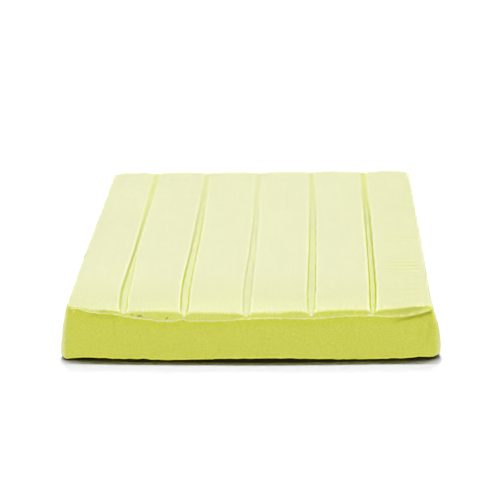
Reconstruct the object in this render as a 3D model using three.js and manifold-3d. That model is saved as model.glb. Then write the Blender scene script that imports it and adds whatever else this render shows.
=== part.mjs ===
// A flat, almost square clay bar, scored on top into six strips that tear off one by one.
// Millimetres, +Z up. The origin is at the middle of the underside.
// The score lines run along Y, and the cut end with the smeared lip faces -Y.

import * as THREE from "three";
import { mergeVertices } from "three/addons/utils/BufferGeometryUtils.js";
import Module from "manifold-3d";

// Driving dimensions
const LENGTH = 60; // from end to end, along Y
const WIDTH = 62; // across the bulged sides at the front end, along X
const THICKNESS = 9.5; // from the underside to the crown of a strip

const STRIP_COUNT = 6;
const SCORE_PITCH = 10.25; // from one score line to the next
const SCORE_OFFSET = -0.25; // the middle score line lies a little left of the bar's middle
const SCORE_DEPTH = 0.8; // from the crown of a strip to the floor of a score line
const SCORE_FLOOR = 0.5; // width of a score line's flat floor
const SCORE_MOUTH = 1.8; // width of a score line between its two shoulders
const STRIP_CROWN = 0.15; // how far the middle of a strip stands above its shoulders

const SIDE_BULGE = 1; // how far each outer side swells beyond the top edge
const BULGE_HEIGHT = 2.3; // height of the widest line of a side
const SIDE_SHOULDER = 0.7; // size of the rounding between the top and an outer side
const SIDE_FOOT = 0.7; // size of the rounding between an outer side and the underside
const TAPER = 0.8; // how much each side draws in by the back end
const CORNER_RADIUS = 1.6; // rounding of the four upright corners
const MARGIN = 0.1; // how far the trimming forms stand clear of surfaces that they do not trim

const LIP_REACH = 0.3; // how far the smeared lip stands in front of the cut face
const LIP_DROP = 1.9; // from the crown down to the lip's lower edge
const LIP_ROUND = 1.1; // rounding between the top and the lip
const BACK_ROUND = 0.9; // rounding between the top and the back face
const FOOT_ROUND = 0.4; // rounding between either end and the underside

const CURVE_SEGMENTS = 6; // straight pieces that stand in for each rounding

const FRONT = -LENGTH / 2;
const BACK = LENGTH / 2;
const TOP_EDGE = THICKNESS - STRIP_CROWN; // height of the shoulders and of the outer top edges

const CLAY = { color: new THREE.Color(0.86, 0.87, 0.45), roughness: 0.75, metalness: 0 };

const X = new THREE.Vector3(1, 0, 0);
const Y = new THREE.Vector3(0, 1, 0);
const Z = new THREE.Vector3(0, 0, 1);

const wasm = await Module();
wasm.setup();

const point = (u, v) => new THREE.Vector2(u, v);

// The x of score line n, counted from 1 at the left.
function scoreX(n) {
  return SCORE_OFFSET + (n - STRIP_COUNT / 2) * SCORE_PITCH;
}

// The points of a quarter-round or other simple bend from start to end, drawn towards corner.
function bend(start, corner, end) {
  return new THREE.QuadraticBezierCurve(start, corner, end).getPoints(CURVE_SEGMENTS);
}

// An outline extruded by depth, with the outline's x and y and the depth laid along three axes.
function prism(outline, depth, along, up, out) {
  const options = { depth, bevelEnabled: false, curveSegments: CURVE_SEGMENTS };
  const axes = new THREE.Matrix4().makeBasis(along, up, out);
  return new THREE.ExtrudeGeometry(outline, options).applyMatrix4(axes);
}

// A closed geometry as a manifold-3d solid.
function solidOf(geometry) {
  geometry.deleteAttribute("normal");
  geometry.deleteAttribute("uv");
  const merged = mergeVertices(geometry, 1e-4);
  const mesh = new wasm.Mesh({
    numProp: 3,
    vertProperties: merged.attributes.position.array,
    triVerts: new Uint32Array(merged.index.array),
  });
  return new wasm.Manifold(mesh);
}

// A manifold-3d solid as a flat-shaded geometry.
function geometryOf(solid) {
  const mesh = solid.getMesh();
  const shared = new THREE.BufferGeometry();
  shared.setAttribute("position", new THREE.BufferAttribute(mesh.vertProperties, 3));
  shared.setIndex(new THREE.BufferAttribute(mesh.triVerts, 1));
  const flat = shared.toNonIndexed();
  flat.computeVertexNormals();
  return flat;
}

// The parting edge at x, upwards: the parting plane, then half a score line's floor and its wall.
// side is 1 for a strip to the right of x, and -1 for a strip to its left.
function partingEdge(x, side) {
  const floor = THICKNESS - SCORE_DEPTH;
  const floorEnd = x + (side * SCORE_FLOOR) / 2;
  const shoulder = x + (side * SCORE_MOUTH) / 2;
  const middle = (floorEnd + shoulder) / 2;
  const wall = new THREE.CubicBezierCurve(
    point(floorEnd, floor),
    point(middle, floor),
    point(middle, TOP_EDGE),
    point(shoulder, TOP_EDGE),
  );
  return [point(x, 0), point(x, floor), ...wall.getPoints(CURVE_SEGMENTS)];
}

// The outer edge of an end strip, upwards, left square and a little wide for sideForm to trim.
function squareEdge(side) {
  const outer = side * (WIDTH / 2 + MARGIN);
  return [point(outer, 0), point(outer, TOP_EDGE), point(outer - side * SIDE_BULGE, TOP_EDGE)];
}

// Strip n seen along +Y, counter-clockwise: up its right edge, over the crown, down its left edge.
function stripOutline(n) {
  const right = n === STRIP_COUNT ? squareEdge(1) : partingEdge(scoreX(n), -1);
  const left = n === 1 ? squareEdge(-1) : partingEdge(scoreX(n - 1), 1);
  const middle = (right.at(-1).x + left.at(-1).x) / 2;
  const crown = bend(right.at(-1), point(middle, THICKNESS + STRIP_CROWN), left.at(-1));
  return new THREE.Shape([...right, ...crown.slice(1, -1), ...left.reverse()]);
}

// Strip n at more than its full length, with its ends and any outer side still square.
function stripBlank(n) {
  const depth = LENGTH + 2 * MARGIN;
  return prism(stripOutline(n), depth, X, Z, Y.clone().negate()).translate(0, depth / 2, 0);
}

// Everything on the inner side of an outer face: its foot, bulge, flank and shoulder, seen along
// +Y at the front end. The face turns inwards by TAPER over the bar's length.
function sideForm() {
  const widest = WIDTH / 2;
  const edge = widest - SIDE_BULGE;
  const bulge = point(widest, BULGE_HEIGHT);
  const underEdge = point(edge, TOP_EDGE - SIDE_SHOULDER);
  const foot = bend(point(widest - SIDE_FOOT, 0), point(widest, 0), bulge);
  const flank = bend(bulge, point(widest, (BULGE_HEIGHT + TOP_EDGE) / 2), underEdge);
  const shoulder = bend(
    underEdge,
    point(edge, TOP_EDGE - SIDE_SHOULDER / 2),
    point(edge - SIDE_SHOULDER, TOP_EDGE + SIDE_SHOULDER / 2),
  );
  const inner = [point(0, TOP_EDGE + SIDE_SHOULDER / 2), point(0, 0)];
  const outline = new THREE.Shape([...foot, ...flank.slice(1), ...shoulder.slice(1), ...inner]);
  const depth = LENGTH + 2 * SIDE_BULGE;
  const form = prism(outline, depth, X, Z, Y.clone().negate());
  form.translate(-widest, depth - SIDE_BULGE, 0);
  return form.rotateZ(Math.atan(TAPER / LENGTH)).translate(widest, FRONT, 0);
}

// The bar seen along X, counter-clockwise: underside, back end, top, lip and cut face.
function sideProfile() {
  const face = FRONT + LIP_REACH;
  const lipEdge = THICKNESS - LIP_DROP;
  const top = THICKNESS + MARGIN;
  return new THREE.Shape([
    ...bend(point(face, FOOT_ROUND), point(face, 0), point(face + FOOT_ROUND, 0)),
    ...bend(point(BACK - FOOT_ROUND, 0), point(BACK, 0), point(BACK, FOOT_ROUND)),
    ...bend(point(BACK, top - BACK_ROUND), point(BACK, top), point(BACK - BACK_ROUND, top)),
    ...bend(point(FRONT + LIP_ROUND, top), point(FRONT, top), point(FRONT, top - LIP_ROUND)),
    point(FRONT, lipEdge + LIP_REACH),
    point(face, lipEdge),
  ]);
}

// The bar seen from above, counter-clockwise: rounded corners, and narrower at the back end.
function plan() {
  const wide = WIDTH / 2 + MARGIN;
  const narrow = wide - TAPER;
  const r = CORNER_RADIUS;
  return new THREE.Shape([
    ...bend(point(wide - r, FRONT), point(wide, FRONT), point(wide, FRONT + r)),
    ...bend(point(narrow, BACK - r), point(narrow, BACK), point(narrow - r, BACK)),
    ...bend(point(r - narrow, BACK), point(-narrow, BACK), point(-narrow, BACK - r)),
    ...bend(point(-wide, FRONT + r), point(-wide, FRONT), point(r - wide, FRONT)),
  ]);
}

// The form of the two ends and the four corners, which every strip is trimmed to.
function endsForm() {
  const span = WIDTH + 4 * MARGIN;
  const fromSide = prism(sideProfile(), span, Y, Z, X).translate(-span / 2, 0, 0);
  const height = THICKNESS + 4 * MARGIN;
  const fromAbove = prism(plan(), height, X, Y, Z).translate(0, 0, -MARGIN);
  return solidOf(fromSide).intersect(solidOf(fromAbove));
}

// The same geometry on the other side of the middle, with its faces still pointing out.
function mirrored(geometry) {
  const turned = geometry.clone().applyMatrix4(new THREE.Matrix4().makeScale(-1, 1, 1));
  const position = turned.attributes.position;
  for (let i = 0; i < position.count; i += 3) {
    const second = new THREE.Vector3().fromBufferAttribute(position, i + 1);
    const third = new THREE.Vector3().fromBufferAttribute(position, i + 2);
    position.setXYZ(i + 1, ...third);
    position.setXYZ(i + 2, ...second);
  }
  return turned;
}

function strip(n) {
  let solid = solidOf(stripBlank(n)).intersect(ends);
  if (n === 1) solid = solid.intersect(solidOf(mirrored(side)));
  if (n === STRIP_COUNT) solid = solid.intersect(solidOf(side.clone()));
  const mesh = new THREE.Mesh(geometryOf(solid), new THREE.MeshStandardMaterial(CLAY));
  mesh.name = `strip_${n}`;
  return mesh;
}

const bar = new THREE.Group();
const ends = endsForm();
const side = sideForm();
for (let n = 1; n <= STRIP_COUNT; n += 1) {
  bar.add(strip(n));
}

export default bar;
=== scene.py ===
import math

import bpy
import numpy as np
from mathutils import Matrix, Vector


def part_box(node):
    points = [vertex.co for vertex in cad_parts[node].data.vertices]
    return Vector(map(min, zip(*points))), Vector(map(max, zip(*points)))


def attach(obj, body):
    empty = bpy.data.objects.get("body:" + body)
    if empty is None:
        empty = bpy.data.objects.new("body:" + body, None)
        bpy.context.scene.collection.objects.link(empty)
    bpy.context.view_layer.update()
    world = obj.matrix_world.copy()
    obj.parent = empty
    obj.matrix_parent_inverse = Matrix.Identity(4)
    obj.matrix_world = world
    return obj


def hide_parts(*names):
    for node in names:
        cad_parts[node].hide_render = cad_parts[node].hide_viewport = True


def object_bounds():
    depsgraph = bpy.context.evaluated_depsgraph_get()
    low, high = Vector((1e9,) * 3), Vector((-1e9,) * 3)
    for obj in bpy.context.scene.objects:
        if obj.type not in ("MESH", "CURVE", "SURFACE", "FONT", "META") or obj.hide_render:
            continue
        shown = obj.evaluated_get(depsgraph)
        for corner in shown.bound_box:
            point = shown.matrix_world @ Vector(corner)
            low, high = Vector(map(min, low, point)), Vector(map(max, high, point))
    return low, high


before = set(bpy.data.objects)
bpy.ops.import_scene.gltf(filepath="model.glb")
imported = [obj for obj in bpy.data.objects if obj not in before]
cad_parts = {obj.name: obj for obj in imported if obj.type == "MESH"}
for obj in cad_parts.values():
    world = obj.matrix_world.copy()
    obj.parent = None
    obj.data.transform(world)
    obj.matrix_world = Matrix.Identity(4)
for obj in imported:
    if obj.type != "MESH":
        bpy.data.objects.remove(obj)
cad_low, cad_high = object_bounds()

# The bar in millimetres. Nominal coordinates are a box: x across the strips, y from the cut end
# (front, negative) to the back, z up. shape() bends that box into the clay bar.
MM = 0.001
SAME = 1e-6  # places closer together than this are one place
STRIP_NAMES = sorted(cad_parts)
SCORES = np.array([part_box(name)[1].x / MM for name in STRIP_NAMES[:-1]])
THICK = cad_high.z / MM
HALF_LENGTH = cad_high.y / MM
TOP_INSET = 1.15  # how far the top edge of a side stands inside the bar's widest line
HALF_WIDTH = round(cad_high.x / MM) - TOP_INSET

# Unevenness is given as ripples. Each has a size, a wavelength (or one for each direction) and
# a seed.

# The two sides. A pair is for the left and the right one.
SWELL_START = 21  # how far from the middle the strips start to follow a side's swelling
SIDE_BULGES = (1.3, 1.32)  # how far a side swells beyond the top edge
BULGE_HEIGHT = 1.6
FLANK_CURVES = (1.2, 1.0)  # the power that shapes the flank above the bulge
FOOT_DRAW = 0.12  # how much of the bulge is lost again down at the underside
TAPER = 0.8  # how much a side draws in by the back end
FLARES = (0.15, 0.72)  # extra swelling at the cut end only
FLARE_HEIGHT, FLARE_SPREAD, FLARE_LENGTH = 3.9, 4.3, 3.5
WAISTS = (0.17, 0.06)  # extra swelling part way along
WAIST_Y, WAIST_LENGTH = -9, 13
SIDE_LUMPS = (0.03, (9.0, 9.0, 6.0), 5)
SIDE_LINES = (0.012, (14.0, 1.1), 7)

# Score lines, left to right. Each has its middle line and its half width along y, as (y, mm), and
# how strong the painted yellow and shade of its two walls is at the near end, in the middle and at
# the far end.
SCORE_DEPTH = (0.60, 0.62, 0.40, 0.52, 0.74)
SCORE_OFFSETS = (
    [(-30, 0.3), (-27, 0.1), (-23, -0.06), (-10, -0.08), (6, 0.02), (30, 0.25)],
    [(-30, 0.05), (-21, -0.23), (-7, -0.03), (6, 0.07), (30, -0.2)],
    [(-30, -0.03), (-23, -0.08), (-4, 0.12), (6, 0.12), (16, -0.18), (30, -0.2)],
    [(-30, 0.31), (-7, 0.37), (13, 0.29), (30, -0.05)],
    [(-30, 0.1), (-21, 0.27), (6, 0.14), (20, -0.1), (30, -0.05)])
SCORE_HALVES = (
    [(-30, 0.53), (-23, 0.6), (-13, 0.38), (-5, 0.19), (30, 0.14)],
    [(-30, 0.56), (-22, 0.65), (-7, 0.56), (6, 0.48), (21, 0.2), (30, 0.15)],
    [(-30, 0.48), (-23, 0.6), (-7, 0.48), (6, 0.33), (16, 0.17), (30, 0.15)],
    [(-30, 0.53), (-23, 0.63), (-7, 0.54), (8, 0.48), (22, 0.28), (30, 0.16)],
    [(-30, 0.38), (-26, 0.46), (6, 0.43), (22, 0.18), (30, 0.15)])
LEFT_WALLS = (0.3, 0.2, 0.2, 0.18, 0.26)  # how wide the slope of a groove's left wall is
RIGHT_WALLS = (0.22, 0.27, 0.32, 0.18, 0.24)
LEFT_TINTS = (
    (0.68, 0.45, 0.4), (1.1, 0.4, 0.28), (0.5, 0.34, 0.15), (1.25, 1.0, 0.3), (1.8, 1.0, 0.45))
RIGHT_TINTS = (
    (1.5, 0.25, 0.35), (1.5, 1.1, 0.3), (0.22, 0.12, 0.12), (1.25, 0.7, 0.3), (1.8, 0.85, 0.45))
NEAR_TO_MIDDLE, MIDDLE_TO_FAR = (-21, -6), (-7, 12)  # the y over which a wall's yellow changes
FLOOR_TINTS = (1.0, 1.0, 0.5, 1.0, 1.55)  # how far each groove's floor is darkened with painted shade
USUAL_DEPTH = 0.62  # of a groove whose beads get the full painted highlight
LINE_WANDER = (0.012, 4.0, 40)  # seeds for the first groove; the others follow on
WIDTH_CHANGE = (0.02, 6.0, 50)
DEPTH_CHANGE = (0.04, 6.0, 60)
CLOSING, CLOSING_LENGTH = 0.45, 0.9  # how much of its size a groove loses right at the cut end
FADE_START = -12  # the y from which grooves get shallower and softer towards the back
DEPTH_FADE = 0.75
BEAD_FADE = 0.7
WALL_SPREAD = 2  # how much wider the slope of a wall gets towards the back
BEAD = 0.04  # height of the clay pushed up beside a groove
BEAD_GAP, BEAD_WIDTH = 0.18, 0.16
BEAD_OFFSET, WALL_TINT_WIDTH = 0.65, 0.6  # as parts of a wall's width
VALLEY, VALLEY_START, VALLEY_WIDTH = 0.13, 8, 1.7  # the shallow trough about a groove at the back
NOTCH_DROP = 0.35  # how far the lip's upper edge dips where a groove runs out over it
NOTCH_WIDTH = 0.9
CROWN_DROP = 0.12  # from the middle of a strip down to its shoulders

# The cut end: its face bows out in the middle, and a smeared lip of the skin hangs over its top.
FACE_SET = 0.2  # how far the face's top stands behind the front of the CAD box at its two sides
FACE_BOW = 0.8
FACE_LEAN = 0.55  # how far the foot stands in front of the top
FACE_DRAG = ((0.03, (6.0, 5.0), 6), (0.009, (0.9, 7.0), 8))
BACK_SET = 0.1  # how far the back face stands inside the box
BACK_DRAG = ((0.05, (6.0, 5.0), 9), (0.012, (1.0, 7.0), 10))
FACE_DEPTH = 6  # how far in from either end the bar follows its face
FOOT_HEIGHTS = [
    (-30, 0.0), (-29, 0.1), (-28, 0.32), (-26, 0.45), (-22.9, 0.38), (-22.3, 0.32), (-17, 0.37),
    (-15.6, 0.2), (-9, 0.33), (-6, 0.42), (1, 0.52), (6, 0.53), (12, 0.37), (16, 0.27),
    (20, 0.22), (26, 0.37), (26.8, 0.44), (28.3, 0.38), (30, 0.15)]
FOOT_RAGGED = (0.02, 2.5, 14)
FOOT_DEPTH = 2.2  # how far behind the cut end the underside is lifted
EDGE_GAP = 0.15  # how far the other lower edges are lifted off the floor
EDGE_GAP_WIDTH = 1.2
DROOP_LENGTH = 3.5  # how far behind the lip the top starts to fall towards it
ROLL_RADIUS = 0.28
ROLL_LEVEL = 8.6  # nominal height of the lip's upper edge
RIM_LEVEL = 7.0  # nominal height of the lip's lower edge
UNDERCUT = 0.2  # nominal height of the hollow under the lip's rim
LIP_DEPTH = 3  # how far behind the cut end the grid follows the lip
LIP_LEAST = 0.25  # the least height of the lip's front
ROLL_HEIGHTS = [
    (-30, 9.3), (-27.8, 9.2), (-26.2, 8.7), (-23.5, 8.5), (-20, 8.6), (-14, 8.7), (-8, 8.5),
    (-2, 8.42), (5, 8.45), (7, 8.72), (11, 8.6), (14, 8.8), (19, 8.78), (24.5, 8.95), (27, 9.2),
    (30, 9.2)]
ROLL_RAGGED = (0.02, 3.0, 13)
ROLL_SINK = 0.7  # how much of a groove's depth the lip's upper edge follows
RIM_HEIGHTS = [
    (-30, 9.35), (-27.7, 9.2), (-25.5, 8.65), (-21.8, 8.42), (-20.4, 8.15), (-18.5, 7.85),
    (-16.5, 7.6), (-13.5, 7.3), (-12, 7.35), (-10.8, 7.65), (-9.5, 7.4), (-5, 7.45), (-1, 7.72),
    (5, 7.85), (10, 7.72), (16.5, 8.1), (19.5, 8.12), (21.5, 8.0), (23.5, 8.0), (25.5, 8.15),
    (30, 8.95)]
RIM_RAGGED = ((0.03, 1.9, 11), (0.008, 0.8, 12))
CREASE_DROPS = [
    (-30, 0.2), (-26.5, 0.25), (-25, 0.4), (-21.8, 0.4), (-21, 0.2), (21.5, 0.25), (22.3, 0.5),
    (23.4, 1.1), (24.5, 0.8), (26.6, 0.55), (29.2, 0.4), (30, 0.3)]
RIM_REACH = [(-30, 0.0), (-26, 0.12), (-20, 0.22), (20, 0.22), (24, 0.4), (28, 0.42), (30, 0.2)]
REACH_CHANGE = (0.08, 2.0, 21)
PULL_DEPTH = 1.2  # how far behind the cut end the lip is pulled forward
EVEN_FLARE = 0.3  # the part of its reach that the lip gains evenly; the rest comes at the rim
HANG, HANG_SPREAD = 0.35, 0.10  # how far the rim hangs, for each mm of its reach
LIFT, LIFT_SPREAD = 0.25, 0.12  # how far the hollow rises behind it
# The hollow under the rim: each value without a deep crease, and what a crease of size 1 adds
TUCK_START, TUCK_END = (0.15, 0.45), (0.9, 0.1)
HOLLOW_DEPTH, HOLLOW_SPREAD = (0.05, 0.4), (0.3, 0.3)
# Deep creases: x where each starts, is full, starts to fade and ends, and its size
FOLDS = [(-26.5, -25.0, -21.8, -21.2, 0.22), (22.3, 26.5, 28.8, 29.8, 1.0)]
# Shallow dents down the cut face: x and z at the top, x and z at the foot, half width, depth
DENTS = [(28.8, 7.2, 27.4, 2.3, 0.35, 0.07), (27.2, 6.2, 26.5, 3.0, 0.3, 0.04),
         (-21.9, 7.4, -22.1, 4.0, 0.25, 0.03), (-13.9, 7.0, -14.0, 3.4, 0.2, 0.03)]
# Small pits in the lip: x, z, length, width, turn in degrees, depth
CHIPS = [(-18.95, 8.3, 0.13, 0.1, 0, 0.04), (-17.75, 8.15, 0.3, 0.14, 10, 0.1),
         (-13.25, 7.8, 0.27, 0.11, 50, 0.1)]
# Pale flecks: x, z, length, width, turn in degrees
FLECKS = [(-28.4, 8.65, 0.13, 0.11, 0), (-18.5, 7.85, 0.5, 0.14, 0), (-17.3, 8.42, 0.3, 0.1, -30),
          (-19.4, 8.6, 0.2, 0.1, 0), (-13.0, 7.35, 0.4, 0.12, 0), (19.9, 8.1, 0.45, 0.14, -10)]
FLECK_HEIGHT = 0.06
SQUEEZED_OUT = 0.12  # how far the thin edge along the foot of the cut face stands out
SQUEEZED_HEIGHT, SQUEEZED_SPREAD = 0.14, 0.17

# How far the rounding of the box's edges reaches, and what is added to it in places
LOW_UNTIL, HIGH_FROM = 3, 6.5  # the nominal heights between which low rounding turns to high
SIDE_ROUND = 0.3
SIDE_ROUND_LOW, SIDE_ROUND_LOW_RIGHT = 0.3, 0.75
SIDE_ROUND_BACK, SIDE_ROUND_FRONT = 0.9, 0.5
FRONT_ROUND_LOW = 0.2
CORNER_ROUND, CORNER_ROUND_RIGHT = 0.7, 0.3
BACK_ROUND, CORNER_ROUND_BACK = 0.3, 0.9
FOOT_ROUND, FOOT_ROUND_BEHIND, FOOT_ROUND_RIGHT = 0.2, 0.3, 0.2

# The skin on top
FOLLOW_HEIGHT = 4  # above it the grid sinks with the grooves, more and more up to the top
PRINT_IN_LIP = 0.12  # how far the lip's front follows each mm of a groove
SKIN_WAVES = ((0.03, 14.0, 1), (0.008, 3.5, 2))
FRAY_RIPPLES = (0.018, (0.9, 3.0), 3)  # finer ones behind the lip, in patches only
PATCHES = (1, 7.0, 4)
# Groups of drag marks across the last strip: y, length, spacing, height and seed
WRINKLES = [(-3.2, 1.0, 1.2, 0.05, 3), (-14.6, 3.2, 1.4, 0.06, 14), (-24.5, 3.0, 1.9, 0.02, 24)]
WRINKLE_WANDER, WRINKLE_WAVELENGTH = 0.6, 6.0
WRINKLE_TILT, WRINKLE_BEND = 0.03, 0.006  # how the ridges slant and curve along x
WRINKLE_START, WRINKLE_MIDDLE = 21, 24
TEAR = ((0.16, 3.2, 71), (0.09, 0.9, 72))  # the relief of a parting face

# Base colours, linear
# SKIN is paler than the cut face partly as the skin's own dry bloom and partly as painted sheen of
# the strong light on top
SKIN = (0.79, 0.80, 0.51)
SKIN_NEAR = (0.76, 0.775, 0.43)  # the skin close to the cut end, a little yellower
PALE_AND_HIGHLIGHT = (0.90, 0.90, 0.68)  # painted highlight on the beads and the top's front edge; also pale flecks and skin
# painted shade on the floors of the grooves
GROOVE_FLOOR_SHADE = (0.74, 0.745, 0.475)
GROOVE_DEEPEST_SHADE = (0.63, 0.62, 0.42)  # the painted shade on the floor of the deepest groove
# the grooves' walls: the yellow of cut clay, deepened with painted shade of the steep walls
GROOVE_WALL_CUT_AND_SHADE = (0.72, 0.79, 0.06)
CUT = (0.73, 0.755, 0.09)
SMEAR = (0.81, 0.85, 0.165)  # the lip's front
LIP_UPPER = (0.78, 0.82, 0.085)  # the upper part of the lip's front, towards the right
FLAP = (0.60, 0.63, 0.1)  # the lip's front towards its two ends, and where a groove meets it
SHADE_UNDER_LIP = (0.71, 0.745, 0.055)  # painted shade on the cut face just below the overhanging lip
# painted highlight along the lip's rim
RIM_HIGHLIGHT = (0.90, 0.895, 0.54)
NOTCH = (0.86, 0.87, 0.52)  # where a groove runs out over the lip
SIDE = (0.82, 0.84, 0.42)
SIDE_PALE = (0.82, 0.83, 0.54)  # the sides away from the cut end
FOOT_HIGHLIGHT = (0.97, 0.98, 0.08)  # painted highlight on the thin squeezed edge along the bottom of the cut face
# painted shade in the pits of the lip
PIT_SHADE = (0.5, 0.55, 0.005)
CREASE_AND_DENT_SHADE = (0.46, 0.485, 0.01)  # painted shade inside the crease and the dents
STREAKS = (0.1, (2.2, 0.35), 83)  # unevenness of the lip's colour
RIM_WIDTH, RIM_WIDTH_CHANGE = 0.1, (0.03, 2.0, 84)  # of the painted highlight along the rim
RIM_STRENGTH, RIM_STRENGTH_CHANGE = 0.85, (0.18, 2.4, 81)
FRAY_AND_HIGHLIGHT_MARKS = (0.3, 0.7, 82)  # pale marks behind the lip's upper edge, in patches: partly speckle, partly a painted highlight along the edge

# Noise in the clay's material: its scale per metre, its detail and how it is stretched
LIGHT_GRAIN, YELLOW_GRAIN = (4200, 3), (3400, 3)
CLOUDS = (160, 3)
DRAG_LINES = (600, 2, (2.5, 0.15, 0.5))
FINE_BUMP, COARSE_BUMP = (2600, 4), (700, 3, (1.0, 2.2, 0.5))
LIGHT_SPREAD, YELLOW_SPREAD = 0.32, 1.4  # how far each changes the colour
CLOUD_SPREAD, LINE_SPREAD = 0.04, 0.03
FINE_STRENGTH, FINE_RELIEF = 0.35, 0.05 * MM
COARSE_STRENGTH, COARSE_RELIEF = 0.25, 0.1 * MM
GRAIN_SKIN = 0.3  # how grainy the skin is, and what the places near and on the cut faces add
GRAIN_NEAR_CUT, GRAIN_CUT = 0.5, 0.7
CLAY_ROUGHNESS, CLAY_SPECULAR = 0.6, 0.35


# ---- helpers ----

def smooth(value, start, end):
    """0 before start, 1 after end, and a smooth step between them."""
    t = np.clip((value - start) / (end - start), 0, 1)
    return t * t * (3 - 2 * t)


def hump(value, middle, width):
    """A bell curve: 1 at middle, and about a third of that at width from it."""
    return np.exp(-(((value - middle) / width) ** 2))


def near_front(y, solid, gone):
    """1 up to solid mm behind the cut end, and 0 from gone mm on."""
    return 1 - smooth(y + HALF_LENGTH, solid, gone)


def near_back(y, gone, solid):
    """0 up to gone mm before the back end, and 1 from solid mm on."""
    return smooth(y, HALF_LENGTH - gone, HALF_LENGTH - solid)


def span(value, start, full, fading, end):
    """Rises from 0 at start to 1 at full, and falls from 1 at fading to 0 at end."""
    return smooth(value, start, full) * (1 - smooth(value, fading, end))


def between_corners(x):
    """1 along the cut end, and 0 on its two upright corners."""
    return 1 - smooth(np.abs(x), 29, 29.8)


def by_side(x, pair):
    """The first of the pair on the left half of the bar, and the second on the right."""
    return np.where(x < 0, *pair)


def through(points):
    """A smooth curve through a few (x, y) points, as a function of x, that never overshoots."""
    xs, ys = np.array(points, float).T
    steps = np.diff(ys) / np.diff(xs)
    slopes = np.zeros(len(xs))
    rising = steps[:-1] * steps[1:] > 0
    slopes[1:-1][rising] = 2 / (1 / steps[:-1][rising] + 1 / steps[1:][rising])

    def at(x):
        x = np.clip(x, xs[0], xs[-1])
        n = np.clip(np.searchsorted(xs, x) - 1, 0, len(xs) - 2)
        h = xs[n + 1] - xs[n]
        t = (x - xs[n]) / h
        start = (2 * t + 1) * (1 - t) ** 2 * ys[n] + t * (1 - t) ** 2 * h * slopes[n]
        return start + t * t * (3 - 2 * t) * ys[n + 1] + t * t * (t - 1) * h * slopes[n + 1]

    return at


roll_height = through(ROLL_HEIGHTS)
rim_height = through(RIM_HEIGHTS)
crease_drop = through(CREASE_DROPS)
rim_reach = through(RIM_REACH)
foot_height = through(FOOT_HEIGHTS)
score_offset = [through(points) for points in SCORE_OFFSETS]
score_half = [through(points) for points in SCORE_HALVES]


def ripple(points, wavelength, seed, waves=28):
    """A smooth random field of about unit size, repeatable, that varies over one wavelength."""
    random = np.random.RandomState(seed)
    directions = random.normal(size=(waves, points.shape[1]))
    directions /= np.linalg.norm(directions, axis=1, keepdims=True)
    scale = random.uniform(0.6, 1.6, (waves, 1)) * 2 * math.pi / np.array(wavelength)
    phases = random.uniform(0, 2 * math.pi, waves)
    return np.cos(points @ (directions * scale).T + phases).sum(1) * math.sqrt(2 / waves)


def uneven(points, *ripples, n=0):
    """The sum of ripples given as (size, wavelength, seed). n is added to each seed."""
    return sum(size * ripple(points, wavelength, seed + n) for size, wavelength, seed in ripples)


def graded(low, high, step):
    """Grid lines from low to high, as far apart as step says at each place."""
    lines = [low]
    while lines[-1] < high:
        lines.append(lines[-1] + step(lines[-1]))
    lines = np.array(lines)
    return low + (lines - low) * (high - low) / (lines[-1] - low)


def fine_near(places, fine, coarse, reach):
    """A step for graded(): fine within reach of any of the places, and coarse away from them."""
    def step(v):
        return fine + (coarse - fine) * smooth(min(abs(v - p) for p in places), reach, 2 * reach)

    return step


# ---- the bar's shape ----

def bow(x):
    """1 in the middle of the bar's width, 0 at its two sides."""
    return 1 - (x / HALF_WIDTH) ** 2


def levelled(p, carved):
    """Moves the grid lines up or down so that they follow the lip, the droop and the lifted foot.

    Carved is how deep the grooves are there. Returns the points, and the heights of the top and of
    the underside at each."""
    x, y, z = p.T
    line = p[:, :1]
    rim = rim_height(x) + uneven(line, *RIM_RAGGED)
    run_outs = np.array([score + off(-HALF_LENGTH) for score, off in zip(SCORES, score_offset)])
    dip = NOTCH_DROP * hump(x[:, None], run_outs, NOTCH_WIDTH).sum(1)
    roll = roll_height(x) + uneven(line, ROLL_RAGGED) - ROLL_SINK * carved - dip
    roll = np.maximum(roll, rim + LIP_LEAST)
    droop = np.maximum(THICK - roll - carved - ROLL_RADIUS, 0)
    droop *= np.clip(1 - (y + HALF_LENGTH) / DROOP_LENGTH, 0, 1) ** 2
    foot = (foot_height(x) + uneven(line, FOOT_RAGGED)) * near_front(y, 0, FOOT_DEPTH)
    edge = np.minimum(HALF_WIDTH - np.abs(x), HALF_LENGTH - y)
    foot = np.maximum(foot, EDGE_GAP * (1 - smooth(edge, 0, EDGE_GAP_WIDTH)))
    nominal = (0, RIM_LEVEL - UNDERCUT, RIM_LEVEL, ROLL_LEVEL, THICK)
    at_front = (0, rim - crease_drop(x), rim, roll, THICK)
    front = near_front(y, 0, LIP_DEPTH)
    levels = [a + front * (b - a) for a, b in zip(nominal, at_front)]
    levels[0] = foot
    levels[-1] = THICK - droop - carved
    height = np.zeros_like(z)
    for n in range(len(nominal) - 1):
        t = np.clip((z - nominal[n]) / (nominal[n + 1] - nominal[n]), 0, 1)
        height = np.where(z >= nominal[n], levels[n] + t * (levels[n + 1] - levels[n]), height)
    return np.stack([x, y, height], 1), levels[-1], foot


def edge_radii(x, y, z):
    """How far the rounding reaches along x, along y in front and behind, and below along z."""
    high = smooth(z, LOW_UNTIL, HIGH_FROM)
    low = 1 - high
    front = near_front(y, 0, 2.5)
    right = smooth(x, -5, 5)
    corner = smooth(np.abs(x), 28, HALF_WIDTH)
    along_x = SIDE_ROUND + (SIDE_ROUND_LOW + SIDE_ROUND_LOW_RIGHT * right) * low
    along_x += SIDE_ROUND_BACK * near_back(y, 8, 0) + SIDE_ROUND_FRONT * front
    along_y_front = ROLL_RADIUS * high + FRONT_ROUND_LOW * low
    along_y_front += (CORNER_ROUND + CORNER_ROUND_RIGHT * right) * corner
    along_y_back = BACK_ROUND + CORNER_ROUND_BACK * corner
    below = FOOT_ROUND + FOOT_ROUND_BEHIND * (1 - front)
    below += FOOT_ROUND_RIGHT * right * smooth(x, 26, HALF_WIDTH)
    return along_x, along_y_front, along_y_back, below


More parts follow.
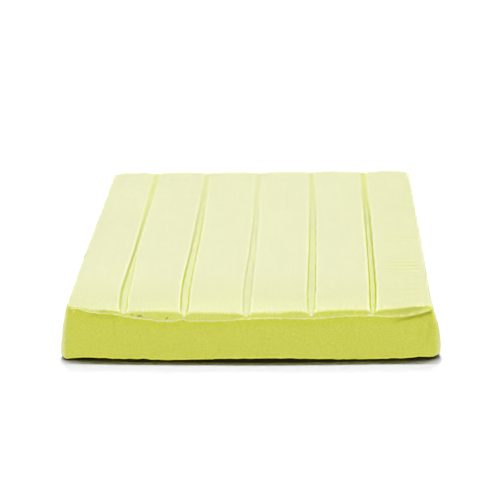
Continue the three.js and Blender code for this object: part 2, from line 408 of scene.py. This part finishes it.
def rounded(p, top, foot):
    """Rounds the box's edges. Returns the points, and how much each faces along x, y and z."""
    rx, ry_front, ry_back, rz_bottom = edge_radii(*p.T)
    rz_top = np.full(len(p), ROLL_RADIUS)
    low = np.stack([rx - HALF_WIDTH, ry_front - HALF_LENGTH, foot + rz_bottom], 1)
    high = np.stack([HALF_WIDTH - rx, HALF_LENGTH - ry_back, top - rz_top], 1)
    core = np.clip(p, low, high)
    radii = np.where(p < core, np.stack([rx, ry_front, rz_bottom], 1),
                     np.stack([rx, ry_back, rz_top], 1))
    out = (p - core) / radii
    farthest = np.abs(out).max(1)
    length = np.maximum(np.linalg.norm(out, axis=1), 1e-9)
    facing = out * (farthest / length)[:, None]
    return core + facing * radii, facing


def score_profile(x, y):
    """The score lines: depth below the strips, and how much of a point is wall, floor and bead."""
    depth, wall, floor, bead = np.zeros((4, len(x)))
    back = smooth(y, FADE_START, HALF_LENGTH)
    closing = 1 - CLOSING * near_front(y, 0, CLOSING_LENGTH)
    line = np.stack([y], 1)
    for n, score in enumerate(SCORES):
        off = x - score - score_offset[n](y) - uneven(line, LINE_WANDER, n=n)
        half = score_half[n](y) * closing * (1 + uneven(line, WIDTH_CHANGE, n=n))
        left = off < 0
        width = np.where(left, LEFT_WALLS[n], RIGHT_WALLS[n]) * (1 + WALL_SPREAD * back)
        near, middle, far = (np.where(left, *pair) for pair in zip(LEFT_TINTS[n], RIGHT_TINTS[n]))
        tint = near + smooth(y, *NEAR_TO_MIDDLE) * (middle - near)
        tint += smooth(y, *MIDDLE_TO_FAR) * (far - middle)
        off = np.abs(off)
        inside = 1 - smooth(off, half - width / 2, half + width / 2)
        deep = SCORE_DEPTH[n] * closing * (1 - DEPTH_FADE * back)
        deep *= 1 + uneven(line, DEPTH_CHANGE, n=n)
        beside = hump(off, half + BEAD_OFFSET * width + BEAD_GAP, BEAD_WIDTH)
        beside *= 1 - BEAD_FADE * back
        valley = VALLEY * smooth(y, VALLEY_START, HALF_LENGTH) * hump(off, 0, VALLEY_WIDTH)
        depth += deep * inside - BEAD * beside + valley
        wall += tint * hump(off, half, WALL_TINT_WIDTH * width)
        floor += inside * FLOOR_TINTS[n]
        bead += beside * SCORE_DEPTH[n] / USUAL_DEPTH
    return depth, np.clip(wall, 0, 1), floor, np.clip(bead, 0, 1)


def crown_drop(x):
    """How far a strip's top is below its crown, from its middle to its shoulders."""
    edges = np.concatenate([[-HALF_WIDTH], SCORES, [HALF_WIDTH]])
    n = np.clip(np.searchsorted(edges, x) - 1, 0, len(edges) - 2)
    across = 2 * (x - edges[n]) / (edges[n + 1] - edges[n]) - 1
    return CROWN_DROP * across**4


def swell(q, p):
    """Adds the bulge and taper of the two sides, and the lean and bow of the cut face."""
    x, y, z = p.T
    side = np.sign(x) * smooth(np.abs(x), SWELL_START, HALF_WIDTH)
    above = np.clip((z - BULGE_HEIGHT) / (THICK - BULGE_HEIGHT), 0, 1)
    below = np.clip(1 - z / BULGE_HEIGHT, 0, 1)
    bulge = 1 - above ** by_side(x, FLANK_CURVES) - FOOT_DRAW * below**2
    flare = hump(z, FLARE_HEIGHT, FLARE_SPREAD) * near_front(y, 0, FLARE_LENGTH)
    out = by_side(x, SIDE_BULGES) * bulge + by_side(x, FLARES) * flare
    out += by_side(x, WAISTS) * hump(y, WAIST_Y, WAIST_LENGTH)
    out += uneven(p, SIDE_LUMPS) + uneven(p[:, 1:], SIDE_LINES)
    q[:, 0] += side * (out - TAPER * (y / HALF_LENGTH + 1) / 2)
    out = FACE_BOW * bow(x) - FACE_SET + FACE_LEAN * np.clip(1 - z / THICK, 0, 1)
    q[:, 1] -= near_front(y, 0, FACE_DEPTH) * (out - uneven(p[:, ::2], *FACE_DRAG))
    q[:, 1] -= near_back(y, FACE_DEPTH, 0) * (BACK_SET + uneven(p[:, ::2], *BACK_DRAG))


def lip(q, p):
    """Pulls the lip forward over the cut face, with a thin rim that hangs off the face.

    Returns how deep in the crease under the rim each point is."""
    x, y, z = p.T
    front = near_front(y, 0, PULL_DEPTH)
    reach = rim_reach(x) * (1 + uneven(p[:, :1], REACH_CHANGE))
    fold = np.zeros_like(x)
    for *places, size in FOLDS:
        fold += size * span(x, *places)
    across = np.clip((ROLL_LEVEL - z) / (ROLL_LEVEL - RIM_LEVEL), 0, 1)
    under = np.clip((RIM_LEVEL - z) / UNDERCUT, 0, 1)
    flare = EVEN_FLARE * across + (1 - EVEN_FLARE) * across**3

    def creased(plain, added):
        return plain + added * fold

    tucked = smooth(under, creased(*TUCK_START), creased(*TUCK_END))
    below = np.maximum(RIM_LEVEL - UNDERCUT - z, 0)
    hollow = creased(*HOLLOW_DEPTH) * tucked * hump(below, 0, creased(*HOLLOW_SPREAD))
    q[:, 1] += front * (hollow - reach * flare * (1 - tucked))
    hang = HANG * reach * hump(z, RIM_LEVEL - 0.02, HANG_SPREAD)
    lift = LIFT * reach * hump(z, RIM_LEVEL - UNDERCUT, LIFT_SPREAD)
    q[:, 2] += front * (lift - hang)
    return front * fold * smooth(under, 0.5, 0.8) * (1 - smooth(below, 0.25, 0.65))


def blob(x, z, middle_x, middle_z, length, width, turn):
    """A soft oval spot on the cut end, turned by some degrees."""
    across, up = x - middle_x, z - middle_z
    c, s = math.cos(math.radians(turn)), math.sin(math.radians(turn))
    return hump(np.hypot((c * across + s * up) / length, (c * up - s * across) / width), 0, 1)


def wrinkles(x, y):
    """Fine drag marks across the last strip, in groups, as slanting ridges along x."""
    slant = y - WRINKLE_TILT * (x - WRINKLE_START) - WRINKLE_BEND * (x - WRINKLE_MIDDLE) ** 2
    places = np.stack([x, y], 1)
    marks = np.zeros_like(x)
    for middle, length, spacing, height, seed in WRINKLES:
        wander = uneven(places, (WRINKLE_WANDER, WRINKLE_WAVELENGTH, seed))
        wave = np.sin(2 * math.pi * slant / spacing + wander)
        marks += height * hump(slant, middle, length) * wave
    return marks * span(x, 21.5, 24.5, 27.8, 29.3)


def blemished(q, x, on_front):
    """Adds the pits, dents and flecks of the cut end. Returns how much of each a point has."""
    height = q[:, 2]
    pits, dents, flecks = np.zeros((3, len(x)))
    for *spot, deep in CHIPS:
        pit = blob(x, height, *spot) * on_front
        q[:, 1] += deep * pit
        pits += pit
    for top_x, top_z, foot_x, foot_z, half, deep in DENTS:
        along = (top_z - height) / (top_z - foot_z)
        off_line = x - top_x - along * (foot_x - top_x)
        dents += deep * span(along, -0.1, 0.3, 0.6, 1.1) * hump(off_line, 0, half) * on_front
    for spot in FLECKS:
        flecks += blob(x, height, *spot) * on_front
    q[:, 1] += dents - FLECK_HEIGHT * flecks
    return pits, dents, flecks


def squeezed_out(q, p, foot, on_front):
    """Adds the thin edge along the foot of the cut face. Returns how much of it a point is."""
    squeezed = hump(q[:, 2] - foot, SQUEEZED_HEIGHT, SQUEEZED_SPREAD)
    squeezed *= smooth(on_front, 0.05, 0.5) * (p[:, 2] < LOW_UNTIL)
    squeezed *= 1 - smooth(np.abs(p[:, 0]), 29, HALF_WIDTH)
    q[:, 1] -= SQUEEZED_OUT * squeezed
    return squeezed


def shape(p, inside):
    """Nominal points in millimetres to the clay bar's points, their colours, and their grain."""
    x, y, z = p.T
    depth, wall, floor, bead = score_profile(x, y)
    near_end = near_front(y, 0.5, 3)
    at_end = np.maximum(near_end, near_back(y, 3, 0.5))
    sunk = depth + crown_drop(x)
    levels, top_height, foot = levelled(p, at_end * sunk)
    q, facing = rounded(levels, top_height, foot)
    swell(q, levels)
    crease = lip(q, p)
    top = np.maximum(facing[:, 2], 0)
    front = np.maximum(-facing[:, 1], 0)
    upper = np.clip((levels[:, 2] - FOLLOW_HEIGHT) / (THICK - FOLLOW_HEIGHT), 0, 1)
    q[:, 2] -= (1 - at_end) * upper * sunk
    on_lip = smooth(z, RIM_LEVEL + 0.3, ROLL_LEVEL + 0.2)
    q[:, 1] -= near_end * on_lip * facing[:, 1] * PRINT_IN_LIP * depth
    patches = smooth(uneven(p[:, :2], PATCHES), -0.6, 1.2)
    marks = wrinkles(x, y)
    frayed = near_front(y, 0.3, 3.2) * patches * uneven(p[:, :2], FRAY_RIPPLES)
    q[:, 2] += upper * (uneven(p[:, :2], *SKIN_WAVES) + marks + frayed)
    pits, dents, flecks = blemished(q, x, front)
    squeezed = squeezed_out(q, p, foot, front)
    masks = {"top": top, "front": front, "back": np.maximum(facing[:, 1], 0),
             "side": np.abs(facing[:, 0]), "wall": wall, "floor": np.minimum(floor, 1),
             "darkest": np.maximum(floor - 1, 0), "bead": bead, "crease": crease,
             "pits": pits, "flecks": flecks, "squeezed": squeezed, "patches": patches,
             "dents": dents, "wrinkles": marks}
    grainy = GRAIN_SKIN + GRAIN_NEAR_CUT * near_front(y, 1, 10) * top + inside
    grainy += GRAIN_CUT * np.abs(facing[:, 1])
    return q, coloured(p, q, masks, inside), np.clip(grainy, 0, 1)


# ---- the clay's colour ----

def top_layers(p, masks):
    """The skin on top and its grooves, with painted shade in the grooves and in the troughs of the
    drag marks, as (amount, colour).
    """
    x, y, z = p.T
    top = masks["top"]
    return [
        (near_front(y, 0, 14), SKIN_NEAR),
        (0.5 * smooth(x, 12, HALF_WIDTH), SKIN_NEAR),
        # painted shade in the troughs of the drag marks, in the cut colour
        (-8 * masks["wrinkles"], CUT),
        # painted shade on the groove floors, darkest in the deepest groove
        (top * masks["floor"] * (1 - 0.6 * smooth(y, -10, 25)), GROOVE_FLOOR_SHADE),
        (top * masks["darkest"] * (1 - 0.7 * smooth(y, 0, 20)), GROOVE_DEEPEST_SHADE),
        # the walls' cut yellow, with painted shade of the steep walls
        (top * masks["wall"], GROOVE_WALL_CUT_AND_SHADE)]


def side_layers(p, masks):
    """The two sides and the back face."""
    return [
        (masks["side"] * 1.1 * (1 - 0.6 * smooth(p[:, 2], 6, 9)), SIDE),
        (masks["side"] * smooth(p[:, 1], -26, -14), SIDE_PALE),
        (smooth(masks["back"], 0.45, 0.9), CUT)]


def cut_layers(p, q, masks):
    """The cut face and the lip over it, with painted shade just below the lip."""
    x, y, z = p.T
    front = masks["front"]
    cut = np.where(z > RIM_LEVEL, smooth(front, 0.5, 0.92), np.clip(front * 1.6, 0, 1))
    corner = smooth(masks["side"], by_side(x, (0.08, 0.3)), by_side(x, (0.65, 0.95)))
    cut *= 1 - 0.7 * corner
    below_rim = rim_height(x) - q[:, 2]
    streaky = 1 + uneven(p[:, ::2], STREAKS)
    smear = cut * smooth(z, RIM_LEVEL - 0.05, RIM_LEVEL) * between_corners(x)
    darker = 0.75 * smooth(x, 21, 27) + 0.65 * (1 - smooth(x, -23, -19)) + 0.35 * masks["floor"]
    skinned = span(x, -28.8, -28, -25, -24)  # where the skin reaches down over the lip
    return [
        (cut, CUT),
        # painted shade on the cut face just under the overhanging lip
        (cut * (z < RIM_LEVEL) * (1 - smooth(below_rim, 0.5, 2.2)), SHADE_UNDER_LIP),
        (smear * streaky, SMEAR),
        (smear * smooth(x, 4, 18) * hump(z, ROLL_LEVEL - 0.3, 0.5), LIP_UPPER),
        (smear * darker * (1 - skinned) * streaky, FLAP),
        (0.3 * smear * skinned, PALE_AND_HIGHLIGHT)]


def edge_layers(p, q, masks):
    """Painted highlights along the beads and the lip's rim, the notches in the lip, and pale
    speckle with a painted highlight behind its upper edge.
    """
    x, y, z = p.T
    top, front = masks["top"], masks["front"]
    line = p[:, :1]
    from_rim = z - RIM_LEVEL - 0.03
    from_rim = np.where(from_rim < 0, from_rim * crease_drop(x) / UNDERCUT, from_rim)
    rim = hump(from_rim, 0, RIM_WIDTH + uneven(line, RIM_WIDTH_CHANGE))
    rim *= front * between_corners(x)
    notch = masks["floor"] * smooth(z, ROLL_LEVEL - 0.5, ROLL_LEVEL + 0.2)
    from_edge = q[:, 1] + HALF_LENGTH + FACE_BOW * bow(x) - FACE_SET
    fray_and_edge_highlight = hump(from_edge, 0.35, 0.5 + 0.2 * masks["patches"]) * top * (1 - masks["wall"])
    return [
        # painted highlight along the beads
        (0.6 * masks["bead"] * top, PALE_AND_HIGHLIGHT),
        # painted highlight along the lip's rim
        (rim * (RIM_STRENGTH + uneven(line, RIM_STRENGTH_CHANGE)), RIM_HIGHLIGHT),
        (1.2 * notch * smooth(front, 0.1, 0.6), NOTCH),
        # pale speckle and a painted highlight behind the lip's upper edge
        (fray_and_edge_highlight * masks["patches"] * uneven(line, FRAY_AND_HIGHLIGHT_MARKS), PALE_AND_HIGHLIGHT)]


def coloured(p, q, masks, inside):
    """The clay's base colour at each point, painted shade and highlights included, with each layer
    painted over those before it.
    """
    layers = top_layers(p, masks) + side_layers(p, masks)
    layers += cut_layers(p, q, masks) + edge_layers(p, q, masks)
    # painted shade in the dents, the pits and the crease, and a painted highlight on the squeezed
    # edge at the foot
    layers += [(2.5 * masks["dents"], CREASE_AND_DENT_SHADE), (masks["flecks"], PALE_AND_HIGHLIGHT), (2 * masks["pits"], PIT_SHADE),
               (1.2 * masks["crease"], CREASE_AND_DENT_SHADE), (masks["squeezed"], FOOT_HIGHLIGHT), (inside, CUT)]
    colour = np.tile(SKIN, (len(p), 1))
    for amount, new in layers:
        weight = np.clip(amount, 0, 1)[:, None]
        colour = colour * (1 - weight) + np.array(new) * weight
    return colour


# ---- one strip's mesh ----

# Grid steps: the fine step, the coarse step, and how far the fine step reaches
GROOVE_GRID = (0.075, 0.24, 1.1)
DETAIL_GRID = (0.115, 0.24, 0.42)
END_GRID = (0.1, 0.26, 1.5)
FACE_GRID = (0.07, 0.3, 0.7)
LIP_STEP = 0.09
RIM_LINES = 11  # grid lines from the hollow under the rim to just above it
RIM_TOP = 0.12
TEAR_MARGIN = 1.5  # how far in from its edges a parting face's relief is full


def box_surface(lines):
    """The surface of a box cut by three sets of grid lines: its points and its faces."""
    counts = [len(line) for line in lines]
    place = np.stack(np.meshgrid(*[np.arange(n) for n in counts], indexing="ij"), -1)
    edge = ((place == 0) | (place == np.array(counts) - 1)).any(-1)
    index = np.full(counts, -1)
    index[edge] = np.arange(edge.sum())
    points = np.stack([line[place[edge][:, n]] for n, line in enumerate(lines)], 1)
    faces = []
    for axis in range(3):
        for end in (0, -1):
            sheet = np.take(index, end, axis)
            quads = np.stack([sheet[:-1, :-1], sheet[1:, :-1], sheet[1:, 1:], sheet[:-1, 1:]], -1)
            quads = quads.reshape(-1, 4)
            outward = (end == -1) == (axis != 1)
            faces.append(quads if outward else quads[:, ::-1])
    return points, np.concatenate(faces)


def strip_lines(left, right, scores):
    """A strip's grid lines across, along and upwards, closest together where detail is finest."""
    finest = [edge for edge in (left, right) if edge not in scores]
    finest += [spot[0] for spot in CHIPS + FLECKS if left < spot[0] < right]
    by_groove = fine_near(scores, *GROOVE_GRID)
    by_detail = fine_near(finest, *DETAIL_GRID) if finest else by_groove
    across = graded(left, right, lambda v: min(by_groove(v), by_detail(v)))
    ends = [-HALF_LENGTH, HALF_LENGTH]
    along = graded(*ends, fine_near(ends, *END_GRID))
    hollow, lip_start = RIM_LEVEL - UNDERCUT, RIM_LEVEL + RIM_TOP
    upward = np.concatenate([
        graded(0, hollow, fine_near([0, RIM_LEVEL], *FACE_GRID)),
        np.linspace(hollow, lip_start, RIM_LINES),
        graded(lip_start, THICK, lambda v: LIP_STEP)])
    return across, along, np.unique(np.round(upward, 6))


def strip_mesh(name, left, right):
    """The strip between two lines, as one closed mesh in metres."""
    scores = [edge for edge in (left, right) if abs(edge) < HALF_WIDTH]
    points, faces = box_surface(strip_lines(left, right, scores))
    x, y, z = points.T
    parting = (np.abs(x[:, None] - scores) < SAME).any(1)
    outside = (np.abs(y) > HALF_LENGTH - SAME) | (z < SAME) | (z > THICK - SAME)
    inside = (parting & ~outside).astype(float)
    placed, colour, grainy = shape(points, inside)
    depth_in = np.minimum(np.minimum(HALF_LENGTH - np.abs(y), z), THICK - z)
    placed[:, 0] += inside * smooth(depth_in, 0, TEAR_MARGIN) * uneven(points[:, 1:], *TEAR)
    mesh = bpy.data.meshes.new(name)
    mesh.from_pydata((placed * MM).tolist(), [], faces.tolist())
    mesh.update()
    tint = np.column_stack([colour, np.ones(len(colour))])
    store(mesh, "tint", "FLOAT_COLOR", "POINT", "color", tint.astype(np.float32))
    store(mesh, "grainy", "FLOAT", "POINT", "value", grainy.astype(np.float32))
    mesh.polygons.foreach_set("use_smooth", np.ones(len(mesh.polygons), bool))
    ends = np.zeros(len(mesh.edges) * 2, int)
    mesh.edges.foreach_get("vertices", ends)
    sharp = (parting & outside)[ends.reshape(-1, 2)].all(1)
    store(mesh, "sharp_edge", "BOOLEAN", "EDGE", "value", sharp)
    return mesh


def store(mesh, name, kind, domain, field, values):
    """Adds values to a mesh as a new attribute."""
    mesh.attributes.new(name, kind, domain).data.foreach_set(field, values.ravel())


# ---- materials ----

def clay_material():
    material = bpy.data.materials.new("soft_clay")
    material.use_nodes = True
    nodes = material.node_tree.nodes
    links = material.node_tree.links
    shader = nodes["Principled BSDF"]
    place = nodes.new("ShaderNodeTexCoord").outputs["Object"]

    def fill(node, values):
        for socket, value in values.items():
            if isinstance(value, bpy.types.NodeSocket):
                links.new(value, node.inputs[socket])
            else:
                node.inputs[socket].default_value = value

    def noise(scale, detail, stretch=(1, 1, 1)):
        mapping = nodes.new("ShaderNodeMapping")
        fill(mapping, {"Vector": place, "Scale": stretch})
        texture = nodes.new("ShaderNodeTexNoise")
        fill(texture, {"Vector": mapping.outputs["Vector"], "Scale": scale, "Detail": detail})
        return texture.outputs["Fac"]

    def maths(operation, first, second):
        node = nodes.new("ShaderNodeMath")
        node.operation = operation
        fill(node, {0: first, 1: second})
        return node.outputs[0]

    def attribute(name, output):
        node = nodes.new("ShaderNodeAttribute")
        node.attribute_name = name
        return node.outputs[output]

    def around_one(value, spread):
        """Turns noise about 0.5 into a factor about 1."""
        return maths("ADD", maths("MULTIPLY", maths("SUBTRACT", value, 0.5), spread), 1.0)

    def bump(strength, distance, values):
        node = nodes.new("ShaderNodeBump")
        fill(node, {"Strength": strength, "Distance": distance, **values})
        return node.outputs["Normal"]

    grainy = attribute("grainy", "Fac")
    light_grain = around_one(noise(*LIGHT_GRAIN), maths("MULTIPLY", grainy, LIGHT_SPREAD))
    clouds = around_one(noise(*CLOUDS), CLOUD_SPREAD)
    lines = around_one(noise(*DRAG_LINES), LINE_SPREAD)
    value = maths("MULTIPLY", maths("MULTIPLY", light_grain, clouds), lines)
    yellow = around_one(noise(*YELLOW_GRAIN), maths("MULTIPLY", grainy, YELLOW_SPREAD))
    blue = maths("MULTIPLY", value, yellow)
    factors = nodes.new("ShaderNodeCombineXYZ")
    fill(factors, {0: value, 1: value, 2: blue})
    scaled = nodes.new("ShaderNodeVectorMath")
    scaled.operation = "MULTIPLY"
    fill(scaled, {0: attribute("tint", "Color"), 1: factors.outputs[0]})
    fine = bump(FINE_STRENGTH, FINE_RELIEF, {"Height": noise(*FINE_BUMP)})
    relief = {"Height": noise(*COARSE_BUMP), "Normal": fine}
    coarse = bump(COARSE_STRENGTH, COARSE_RELIEF, relief)
    fill(shader, {"Base Color": scaled.outputs[0], "Normal": coarse})
    shader.inputs["Roughness"].default_value = CLAY_ROUGHNESS
    shader.inputs["Specular IOR Level"].default_value = CLAY_SPECULAR
    return material


def plain_material(name, colour, roughness):
    material = bpy.data.materials.new(name)
    material.use_nodes = True
    shader = material.node_tree.nodes["Principled BSDF"]
    shader.inputs["Base Color"].default_value = (*colour, 1)
    shader.inputs["Roughness"].default_value = roughness
    shader.inputs["Specular IOR Level"].default_value = 0.0
    return material


# ---- camera, floor and light ----

# The camera looks at the bar's top from in front of it, a little from the right. Degrees.
AZIMUTH, ELEVATION, ROLL = 3.11, 24.37, -1.59
TARGET = (-0.0006, -0.0076, THICK * MM)
DISTANCE = 0.2736
FOCAL_LENGTH, SENSOR_WIDTH = 112.0, 36.0

FLOOR_SIZE = 6.0
FLOOR_ALBEDO = 0.04  # dark, and lit on its own until it shows white
STRIP_LIGHT_SUNS = 7
KEY_BLUE = (0.77, 0.77, 1)
BOUNCE_YELLOW = (1, 1, 0.28)

# The light from round about: its height from straight below (0) to straight above (1), and half
# its strength there
WORLD_STOPS = ((0.30, 0.03), (0.36, 0.95), (0.49, 0.95), (0.51, 0.03))
WORLD_STRENGTH = 2.0
SEEN_WHITE = 1.1


def make_camera():
    """Places the camera on the given side of its target, looking at it, with a slight roll."""
    azimuth, elevation, roll = (math.radians(v) for v in (AZIMUTH, ELEVATION, ROLL))
    back = Vector((math.sin(azimuth) * math.cos(elevation),
                   -math.cos(azimuth) * math.cos(elevation), math.sin(elevation)))
    right = Vector((0, 0, 1)).cross(back).normalized()
    up = back.cross(right)
    turn = Matrix((right, up, back)).transposed().to_4x4()
    data = bpy.data.cameras.new("camera")
    data.lens = FOCAL_LENGTH
    data.sensor_width = SENSOR_WIDTH
    data.clip_start = 0.01
    camera = bpy.data.objects.new("camera", data)
    camera.matrix_world = (Matrix.Translation(Vector(TARGET) + back * DISTANCE) @ turn
                           @ Matrix.Rotation(roll, 4, "Z"))
    bpy.context.scene.collection.objects.link(camera)
    bpy.context.scene.camera = camera


def make_floor():
    mesh = bpy.data.meshes.new("floor")
    corners = [(FLOOR_SIZE * x, FLOOR_SIZE * y, 0) for x, y in ((-1, -1), (1, -1), (1, 1), (-1, 1))]
    mesh.from_pydata(corners, [], [(0, 1, 2, 3)])
    floor = bpy.data.objects.new("floor", mesh)
    mesh.materials.append(plain_material("studio_floor", (FLOOR_ALBEDO,) * 3, 0.9))
    bpy.context.scene.collection.objects.link(floor)
    floor.visible_diffuse = False
    return floor


def sun(name, receivers, brightness, softness, elevation, azimuth, colour=(1, 1, 1)):
    """A soft distant light on some objects only. Brightness 1 shows a white surface as white.

    Azimuth 0 shines from the front, 180 from behind. Angles are in degrees."""
    data = bpy.data.lights.new(name, "SUN")
    data.energy = brightness * math.pi
    data.angle = math.radians(softness)
    data.color = colour
    light = bpy.data.objects.new(name, data)
    light.rotation_euler = (math.radians(90 - elevation), 0, math.radians(azimuth))
    light.light_linking.receiver_collection = receivers
    bpy.context.scene.collection.objects.link(light)


def strip_light(name, receivers, brightness, tilt, spread, softness, colour=(1, 1, 1)):
    """A soft box over the back of the bar, as a row of soft suns that lean from left to right."""
    for n in range(STRIP_LIGHT_SUNS):
        lean = spread * (2 * n / (STRIP_LIGHT_SUNS - 1) - 1)
        across, back = math.tan(math.radians(lean)), math.tan(math.radians(tilt))
        elevation = math.degrees(math.atan2(1, math.hypot(across, back)))
        azimuth = 180 + math.degrees(math.atan2(across, back))
        part = brightness / STRIP_LIGHT_SUNS
        sun(name + "_" + str(n + 1), receivers, part, softness, elevation, azimuth, colour)


def make_world():
    """White where the camera sees it. It lights things weakly from above, and well from just below
    the horizon, as a wide white floor would."""
    world = bpy.data.worlds.new("studio")
    world.use_nodes = True
    nodes = world.node_tree.nodes
    links = world.node_tree.links
    separate = nodes.new("ShaderNodeSeparateXYZ")
    links.new(nodes.new("ShaderNodeTexCoord").outputs["Generated"], separate.inputs[0])
    height = nodes.new("ShaderNodeMapRange")
    links.new(separate.outputs["Z"], height.inputs["Value"])
    height.inputs["From Min"].default_value = -1.0
    levels = nodes.new("ShaderNodeValToRGB")
    links.new(height.outputs["Result"], levels.inputs["Fac"])
    stops = levels.color_ramp.elements
    stops[0].position = WORLD_STOPS[0][0]
    stops[1].position = WORLD_STOPS[-1][0]
    for place, _ in WORLD_STOPS[1:-1]:
        stops.new(place)
    for stop, (_, level) in zip(stops, WORLD_STOPS):
        stop.color = (level, level, level, 1)
    background = nodes["Background"]
    background.inputs["Strength"].default_value = WORLD_STRENGTH
    links.new(levels.outputs["Color"], background.inputs["Color"])
    seen = nodes.new("ShaderNodeBackground")
    seen.inputs["Color"].default_value = (1, 1, 1, 1)
    seen.inputs["Strength"].default_value = SEEN_WHITE
    mix = nodes.new("ShaderNodeMixShader")
    links.new(nodes.new("ShaderNodeLightPath").outputs["Is Camera Ray"], mix.inputs[0])
    links.new(background.outputs[0], mix.inputs[1])
    links.new(seen.outputs[0], mix.inputs[2])
    links.new(mix.outputs[0], nodes["World Output"].inputs["Surface"])
    bpy.context.scene.world = world


def light_bar(pieces):
    """A key from above and behind, and weaker fills from the front and the two sides."""
    bar = bpy.data.collections.new("lit_bar")
    for piece in pieces:
        bar.objects.link(piece)
    strip_light("key", bar, brightness=0.90, tilt=17, spread=15, softness=6)
    sun("front_fill", bar, brightness=0.39, softness=40, elevation=10, azimuth=0)
    sun("left_fill", bar, brightness=0.35, softness=40, elevation=8, azimuth=-90)
    sun("right_fill", bar, brightness=0.35, softness=40, elevation=8, azimuth=90)


def light_floor(floor):
    """The bounce stands in for light off the yellow clay, and the key's blue balances it."""
    ground = bpy.data.collections.new("lit_floor")
    ground.objects.link(floor)
    white = 1 / FLOOR_ALBEDO  # the brightness at which the floor shows white
    strip_light("floor_key", ground, 0.40 * white, tilt=12, spread=7, softness=2.5, colour=KEY_BLUE)
    strip_light("floor_wide", ground, 0.50 * white, tilt=12, spread=30, softness=4)
    strip_light("floor_bounce", ground, 0.13 * white, tilt=5, spread=30, softness=3,
                colour=BOUNCE_YELLOW)
    sun("floor_haze", ground, 0.13 * white, softness=7, elevation=65, azimuth=180)
    sun("floor_far_haze", ground, 0.24 * white, softness=8, elevation=55, azimuth=180)


# ---- build ----

make_camera()
bpy.context.scene.view_settings.view_transform = "Standard"
clay = clay_material()
edges = [-HALF_WIDTH, *SCORES, HALF_WIDTH]
pieces = []
for n, name in enumerate(STRIP_NAMES):
    mesh = strip_mesh("clay_" + name, edges[n], edges[n + 1])
    mesh.materials.append(clay)
    piece = bpy.data.objects.new("clay_" + name, mesh)
    bpy.context.scene.collection.objects.link(piece)
    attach(piece, name)
    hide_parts(name)
    pieces.append(piece)
floor = make_floor()
light_bar(pieces)
light_floor(floor)
make_world()
